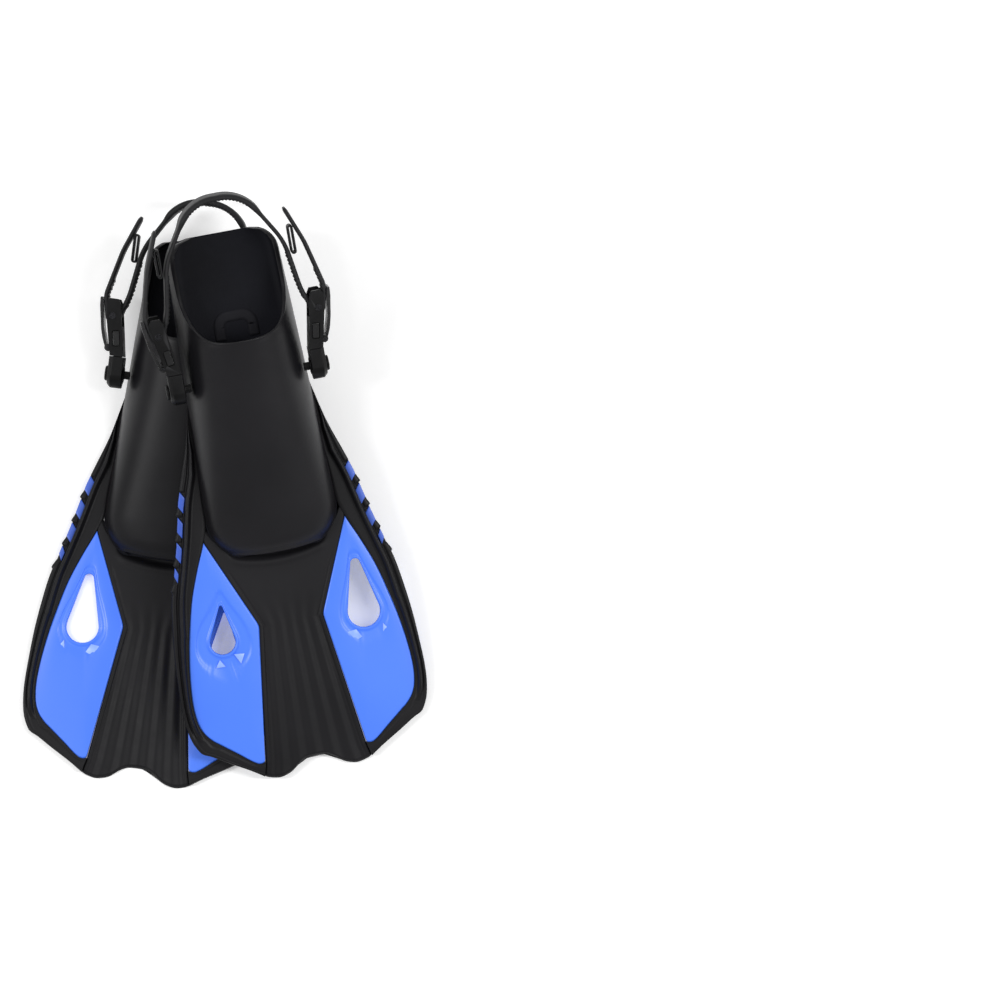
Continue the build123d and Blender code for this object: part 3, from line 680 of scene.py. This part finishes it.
ventLooks = {
    "outer": {"x": 63.0, "u": 337.0, "r": 14.0, "topX": 63.0, "topU": 295.0, "topR": 4.2,
              "dish": 7.0, "depth": 0.9},
    "inner": {"x": 61.0, "u": 340.0, "r": 11.0, "topX": 57.5, "topU": 310.5, "topR": 1.5,
              "dish": 13.0, "depth": 1.3},
}
panelLook = {"bottom": 2.5, "top": 7.2, "seam": 0.25, "edge": 0.9, "crown": 0.8}


def teardropOutline(vent, steps=96):  # convex outline round a big and a small circle
    circles = []
    for k in range(steps):
        a = 2 * math.pi * k / steps
        circles.append((vent["x"] + vent["r"] * math.cos(a), vent["u"] + vent["r"] * math.sin(a)))
        circles.append((vent["topX"] + vent["topR"] * math.cos(a), vent["topU"] + vent["topR"] * math.sin(a)))
    points = sorted(set(circles))
    hull = []
    for ordered in (points, points[::-1]):
        side = []
        for p in ordered:
            while len(side) > 1 and ((side[-1][0] - side[-2][0]) * (p[1] - side[-2][1])
                                     - (side[-1][1] - side[-2][1]) * (p[0] - side[-2][0])) <= 0:
                side.pop()
            side.append(p)
        hull += side[:-1]
    return hull


def panelOutline():
    edge = [railPair(share)[1] for share in np.linspace(6 / 20, 19.0 / 20, 70)]
    points = [tuple(p) for p in edge]
    points += [(50.2, 449.6), (47.5, 450.0), (45.2, 449.2), (44.2, 447.0), (43.4, 441.0)]
    points += [(mix(43.4, 28.6, t), mix(441.0, 338.0, t)) for t in np.linspace(0.1, 1, 12)]
    points += [(28.1, 334.5), (28.2, 331.5), (29.2, 328.0)]
    points += [(mix(29.2, 60.6, t), mix(328.0, 255.6, t)) for t in np.linspace(0.1, 1, 10)]
    return points


def rayHit(centre, angle, outline):
    dx, du = math.cos(angle), math.sin(angle)
    best = 0.0
    for (ax, au), (bx, bu) in zip(outline, outline[1:] + outline[:1]):
        ex, eu = bx - ax, bu - au
        cross = dx * eu - du * ex
        if abs(cross) < 1e-9:
            continue
        t = ((ax - centre[0]) * eu - (au - centre[1]) * ex) / cross
        s = ((ax - centre[0]) * du - (au - centre[1]) * dx) / cross
        if t > 0 and -1e-6 <= s <= 1 + 1e-6:
            best = max(best, t)
    return best


def buildPanel(fin, place):
    look, vent = panelLook, ventLooks[place]
    flip = 1 if place == "outer" else -1
    centre = (vent["x"] * 0.9 + 6.0, vent["u"] - 2.0)
    outline, hole = panelOutline(), teardropOutline(vent)
    angles = set(round(2 * math.pi * k / 120, 5) for k in range(120))
    for x, u in outline + hole:
        angles.add(round(math.atan2(u - centre[1], x - centre[0]) % (2 * math.pi), 5))
    rows = []
    for angle in sorted(angles):
        near = rayHit(centre, angle, hole)
        far = rayHit(centre, angle, outline) - look["seam"]
        span = far - near
        down = math.sin(angle)
        row = []
        spots = [0.0, 0.2, 0.6, 1.2, 1.8, 2.6, 3.4, 4.4] + [
            4.4 + (span - 4.4 - 2.4) * k / 14 for k in range(1, 15)] + [span - 1.5, span - 0.8, span - 0.25, span]
        for d in spots:
            d = min(d, span)
            z = look["top"]
            z += look["crown"] * math.sin(math.pi * clamp(d / span)) * 0.6
            dish = vent["dish"] * (1.0 + 0.35 * max(down, 0))
            z -= vent["depth"] * ease(1.6, 3.6, d) * (1 - ease(dish * 0.82, dish, d))
            z -= 0.9 * (1 - ease(0.0, 1.0, d)) ** 2
            z -= look["edge"] * (1 - ease(0.0, 1.3, span - d)) ** 2
            r = near + d
            row.append((flip * (centre[0] + r * math.cos(angle)), centre[1] + r * math.sin(angle), z))
        for d in (span, span * 0.66, span * 0.33, 0.0):
            r = near + d
            row.append((flip * (centre[0] + r * math.cos(angle)), centre[1] + r * math.sin(angle), look["bottom"]))
        rows.append(row)
    piece = loftMesh(fin.name(place + "Panel"), fin.at, rows, wrapRows=True)
    return settle(piece, fin.name("fin"), "panel_blue", panelBlue, fin.name(place + "_panel"))


# outlines and heights of the pieces that carry the painted reflection under each vent
paintedReflectionLook = {
    "outer": [[(53.5, 351.0), (57.5, 358.5), (47.0, 362.5), (44.5, 352.0)],
              [(77.0, 350.0), (81.5, 356.5), (75.5, 360.0)]],
    "inner": [[(53.8, 352.0), (49.0, 361.5), (44.5, 353.0)], [(66.5, 354.5), (71.0, 361.0), (62.5, 361.5)]],
    "low": 7.3, "high": 8.0, "foot": 6.2,
}


def buildPaintedReflections(fin, place):  # small raised pieces under each vent, coloured pale blue as a painted reflection of the lamps in the vent's dish
    look = paintedReflectionLook
    flip = 1 if place == "outer" else -1
    points, faces = [], []
    for corners in look[place]:
        base, count = len(points), len(corners)
        points += [fin.at(flip * x, u, look["foot"]) for x, u in corners]
        for k, (x, u) in enumerate(corners):
            points.append(fin.at(flip * x, u, look["high"] if k == 0 else look["low"]))
        faces.append([base + k for k in range(count)])
        faces.append([base + count + k for k in range(count)])
        for k in range(count):
            k2 = (k + 1) % count
            faces.append([base + k, base + k2, base + count + k2, base + count + k])
    piece = makeMesh(fin.name(place + "Facets"), points, faces)
    modify(piece, "BEVEL", width=0.35 * mm, segments=2, limit_method="ANGLE")
    applyModifiers(piece)
    return settle(piece, fin.name("fin"), "panel_blue", paintedReflectionBlue)


# the strap and its buckles

strapLook = {
    "thickness": 3.4, "half": 9.3, "padThickness": 5.2, "padHalf": 13.0, "padReach": 34.0, "reach": 37.0,
    "barX": 68.5, "barU": 69.5, "barR": 3.0, "barGap": 0.3, "step": 0.8, "toothPitch": 3.6,
    "toothHeight": 1.1,
}


def tangentCorner(point, side):
    look = strapLook
    bend = look["barR"] + look["barGap"] + look["thickness"] / 2
    dx, du = look["barX"] - point[0], look["barU"] - point[1]
    heading = math.atan2(dx, du) + side * math.asin(bend / math.hypot(dx, du))
    low = look["barU"] + bend
    return point[0] + (low - point[1]) * math.tan(heading), low


def roundedPath(points, radii, step):  # straight runs joined by arcs, in even small steps
    path = [np.array(points[0], float)]

    def runTo(target):
        start = path[-1].copy()
        count = max(1, int(np.linalg.norm(target - start) / step))
        path.extend(start + (target - start) * k / count for k in range(1, count + 1))

    for i in range(1, len(points) - 1):
        a, b, c = (np.array(points[k], float) for k in (i - 1, i, i + 1))
        toA, toC = (a - b) / np.linalg.norm(a - b), (c - b) / np.linalg.norm(c - b)
        turn = math.pi - math.acos(clamp(float(toA @ toC), -1, 1))
        if turn < 0.01:
            runTo(b)
            continue
        reach = radii[i - 1] * math.tan(turn / 2)
        runTo(b + toA * reach)
        middle = b + (toA + toC) / np.linalg.norm(toA + toC) * radii[i - 1] / math.cos(turn / 2)
        first = path[-1] - middle
        spin = 1 if toA[0] * toC[1] - toA[1] * toC[0] < 0 else -1
        count = max(3, int(radii[i - 1] * turn / step))
        for k in range(1, count + 1):
            angle = spin * turn * k / count
            c0, s0 = math.cos(angle), math.sin(angle)
            path.append(middle + np.array((c0 * first[0] - s0 * first[1], s0 * first[0] + c0 * first[1])))
    runTo(np.array(points[-1], float))
    return path


def strapPath():
    look = strapLook
    bend = look["barR"] + look["barGap"] + look["thickness"] / 2
    feed, leave = (57.0, 50.0), (look["barX"] + 8.7, look["barU"] - 17.5)
    side = [(0.45 * finShape["heelHalf"] + 1.0, -look["reach"]), (finShape["heelHalf"] + 3.2, 10.0), feed,
            tangentCorner(feed, -1), tangentCorner(leave, 1), leave,
            (look["barX"] - 1.2, 13.0), (look["barX"] - 13.5, -18.0)]
    radii = [34.0, 60.0, 60.0, bend, bend, 16.0, 80.0]
    points = [(-x, u) for x, u in reversed(side)] + side
    return roundedPath(points, radii[::-1] + radii, look["step"])


def ribbon(path, place, loopAt, name, closed=False):
    rows = []
    count = len(path)
    for i, p in enumerate(path):
        before = path[(i - 1) % count] if closed else path[max(i - 1, 0)]
        after = path[(i + 1) % count] if closed else path[min(i + 1, count - 1)]
        along = (after - before) / max(np.linalg.norm(after - before), 1e-9)
        across = np.array((-along[1], along[0]))
        row = []
        for o, z in loopAt(i, count):
            row.append((float(p[0] + across[0] * o), float(p[1] + across[1] * o), z))
        rows.append(row)
    return loftMesh(name, place, rows, wrapRows=closed)


def roundedLoop(back, front, half, middle, corner):  # section of a band: back and front faces
    spots = []
    for o, side, order in ((front, 1, 1), (back, -1, -1)):
        for k in range(9):
            t = order * (2 * k / 8 - 1)
            past = max(0.0, (abs(t) * half - half + corner) / corner)
            sink = corner * (1 - math.sqrt(max(0.0, 1 - past ** 2)))
            spots.append((o - side * sink * 0.9, middle + t * half))
    return spots


def buildStrap(fin):
    look = strapLook
    path = strapPath()
    distances = np.cumsum([0.0] + [float(np.linalg.norm(b - a)) for a, b in zip(path, path[1:])])
    total = distances[-1]

    def section(i, count):
        s = distances[i]
        fromEnd = min(s, total - s)
        fromMiddle = abs(s - total / 2)
        pad = 1 - ease(look["padReach"], look["padReach"] + 12.0, fromMiddle)
        half = mix(look["half"], look["padHalf"], pad)
        thick = mix(look["thickness"], look["padThickness"], pad) / 2
        tip = ease(0.0, 7.0, fromEnd)
        half *= mix(0.45, 1.0, tip ** 0.5)
        thick *= mix(0.6, 1.0, ease(0.0, 3.0, fromEnd))
        outer, inner = thick, thick
        saw = (s if s < total / 2 else total - s) % look["toothPitch"] / look["toothPitch"]
        x, u = abs(path[i][0]), path[i][1]
        if 56.0 < fromEnd < 84.0 or 20 < u < 62 and x < 64 and fromEnd > 90:
            tooth = look["toothHeight"] * saw * (1 if fromEnd > 90 else ease(56.0, 60.0, fromEnd))
            outer, inner = (outer + tooth, inner) if fromEnd < 90 else (outer, inner + tooth)
        if pad > 0.5 and fromMiddle < look["padReach"] - 4:
            inner += 0.35 * math.sin(2 * math.pi * s / 3.2)
        return roundedLoop(-outer, inner, half, finShape["postHeight"], 1.1)

    piece = ribbon(path, fin.strapAt, section, fin.name("heelStrap"))
    return settle(piece, fin.name("strap"), "strap_rubber", strapRubber, fin.name("heel_strap"))


keeperLook = {"width": 5.0, "length": 25.0, "thickness": 1.7, "half": 7.4, "middleU": 9.5}


def keeperSection(index, count):
    half = keeperLook["thickness"] / 2
    return roundedLoop(-half, half, keeperLook["half"], finShape["postHeight"], 0.6)


def buildKeepers(fin):
    look = keeperLook
    middleX = finShape["heelHalf"] + 3.2 + strapLook["thickness"] / 2 + look["width"] / 2 + 2.3
    r = (look["width"] - look["thickness"]) / 2
    run = (look["length"] - look["width"]) / 2
    path = []
    for sign in (-1, 1):
        for a in np.linspace(0, math.pi, 12):
            path.append(np.array((r * math.cos(a) * -sign, sign * (run + r * math.sin(a)))))
    dense = []
    for a, b in zip(path, path[1:] + path[:1]):
        count = max(1, int(np.linalg.norm(b - a) / 1.0))
        dense += [a + (b - a) * k / count for k in range(count)]
    pieces = []
    for flip in (1, -1):
        moved = [np.array((flip * (middleX + p[0]), look["middleU"] + p[1])) for p in dense]
        pieces.append(ribbon(moved, fin.strapAt, keeperSection, fin.name("keeper"), closed=True))
    joined = joinPieces(fin.name("strapKeepers"), pieces)
    return settle(joined, fin.name("strap"), "strap_rubber", strapRubber, fin.name("strap_keepers"))


def joinPieces(name, pieces):
    work = bmesh.new()
    for piece in pieces:
        work.from_mesh(piece.data)
        bpy.data.objects.remove(piece)
    mesh = bpy.data.meshes.new(name)
    work.to_mesh(mesh)
    work.free()
    mesh.shade_smooth()
    joined = bpy.data.objects.new(name, mesh)
    bpy.context.scene.collection.objects.link(joined)
    return joined


def softenNode(node, body, slotName, material, width):  # the node's own shape with its edges rounded
    mesh = frame["nodes"][node].data.copy()
    work = bmesh.new()
    work.from_mesh(mesh)
    bmesh.ops.remove_doubles(work, verts=work.verts, dist=2e-6)
    bmesh.ops.dissolve_limit(work, angle_limit=math.radians(4), verts=work.verts, edges=work.edges)
    work.to_mesh(mesh)
    work.free()
    words = node.split("_")
    piece = bpy.data.objects.new(words[0] + "_" + words[1] + "".join(w.title() for w in words[2:]), mesh)
    bpy.context.scene.collection.objects.link(piece)
    modify(piece, "BEVEL", width=width * mm, segments=3, limit_method="ANGLE", angle_limit=math.radians(28),
           use_clamp_overlap=True)
    applyModifiers(piece)
    for polygon in piece.data.polygons:
        polygon.use_smooth = True
    modify(piece, "WEIGHTED_NORMAL", keep_sharp=False)
    applyModifiers(piece)
    return settle(piece, body, slotName, material, node)


for fin in fins:
    print("stage: rubber of the", fin.side, "fin")
    buildPocket(fin)
    buildFootbed(fin)
    buildGrip(fin)
    buildChannel(fin)
    for place in ("outer", "inner"):
        buildRail(fin, place)
        buildInserts(fin, place)
        buildPanel(fin, place)
        buildPaintedReflections(fin, place)
    print("stage: strap of the", fin.side, "fin")
    buildStrap(fin)
    buildKeepers(fin)
    for place in ("outer", "inner"):
        softenNode(fin.name(place + "_post"), fin.name("fin"), "post_plastic", bucklePlastic, 0.4)
        receiver = fin.name(place + "_receiver")
        softenNode(receiver, receiver, "buckle_plastic", bucklePlastic, 0.9)
        softenNode(fin.name(place + "_buckle_frame"), fin.name("strap"), "buckle_plastic", bucklePlastic, 0.7)
        softenNode(fin.name(place + "_lever"), fin.name(place + "_lever"), "lever_plastic", leverPlastic, 0.6)
        pressed = fin.name(place + "_release_button")
        softenNode(pressed, fin.name(place + "_button"), "button_plastic", leverPlastic, 0.3)
        spring = frame["nodes"][fin.name(place + "_button_spring")]
        spring.data.materials.clear()
        spring.data.materials.append(springSteel)
    softenNode(fin.name("post_caps"), fin.name("fin"), "post_plastic", bucklePlastic, 0.3)
    softenNode(fin.name("strap_bars"), fin.name("strap"), "pin_steel", pinSteel, 0.3)
    softenNode(fin.name("lever_pins"), fin.name("strap"), "pin_steel", pinSteel, 0.25)


# floor, light and camera

stageLook = {"floorHalf": 6.0, "floorColour": rgb(0.90, 0.90, 0.90), "worldStrength": 0.50, "floorGlow": 0.25}


def buildStage():
    look = stageLook
    h = look["floorHalf"]
    floor = makeMesh("floor", [(-h, -h, 0), (h, -h, 0), (h, h, 0), (-h, h, 0)], [[0, 1, 2, 3]])
    g = Graph("floorPaper")
    tooth = g.noise(300.0, 3.0)
    g.set(Base_Color=g.blendColours(g.spread(tooth, 0.0, 1.0), look["floorColour"], rgb(0.93, 0.93, 0.93)))
    g.set(Roughness=g.spread(tooth, 0.85, 0.95), Normal=g.bump(tooth, 0.00005))
    g.set(Emission_Color=rgb(1.0, 1.0, 1.0), Emission_Strength=look["floorGlow"])
    floor.data.materials.append(g.material)
    world = bpy.data.worlds.new("studio")
    bpy.context.scene.world = world
    world.use_nodes = True
    background = world.node_tree.nodes["Background"]
    background.inputs[0].default_value = rgb(1.0, 1.0, 1.0)
    background.inputs[1].default_value = look["worldStrength"]
    bpy.context.scene.view_settings.view_transform = "Standard"


def areaLight(name, place, target, size, power):
    data = bpy.data.lights.new(name, "AREA")
    data.shape = "RECTANGLE"
    data.size, data.size_y = size
    data.energy = power
    lamp = bpy.data.objects.new(name, data)
    lamp.location = place
    lamp.rotation_euler = (Vector(target) - Vector(place)).to_track_quat("-Z", "Y").to_euler()
    bpy.context.scene.collection.objects.link(lamp)


cameraLook = {"elevation": 85.0, "roll": -1.6, "distance": 4.0, "frameWidth": 0.863,
              "heelShare": (0.2126, 0.2456)}


def buildCamera():
    look = cameraLook
    data = bpy.data.cameras.new("camera")
    data.sensor_width = 36.0
    data.lens = 36.0 * look["distance"] / look["frameWidth"]
    camera = bpy.data.objects.new("camera", data)
    up = math.radians(look["elevation"])
    back = Vector((0, -math.cos(up), math.sin(up)))
    right = Vector((1, 0, 0))
    top = back.cross(right)
    spin = Matrix.Rotation(math.radians(look["roll"]), 3, back)
    right, top = spin @ right, spin @ top
    heel = (fins[0].origin + fins[1].origin) / 2
    across = (0.5 - look["heelShare"][0]) * look["frameWidth"]
    down = (0.5 - look["heelShare"][1]) * look["frameWidth"]
    target = heel + right * across - top * down
    camera.matrix_world = Matrix.Translation(target + back * look["distance"]) @ Matrix(
        (right, top, back)).transposed().to_4x4()
    data.clip_end = 50.0
    bpy.context.scene.collection.objects.link(camera)
    bpy.context.scene.camera = camera


print("stage: floor, light and camera")
buildStage()
areaLight("keyLeft", (-1.35, -0.25, 1.9), (-0.02, -0.2, 0.0), (0.22, 1.3), 21.0)
areaLight("keyRight", (1.35, -0.3, 1.9), (0.05, -0.2, 0.0), (0.22, 1.3), 21.0)
areaLight("heelFill", (0.1, 1.5, 1.9), (0.0, -0.1, 0.0), (1.0, 0.4), 5.0)
buildCamera()
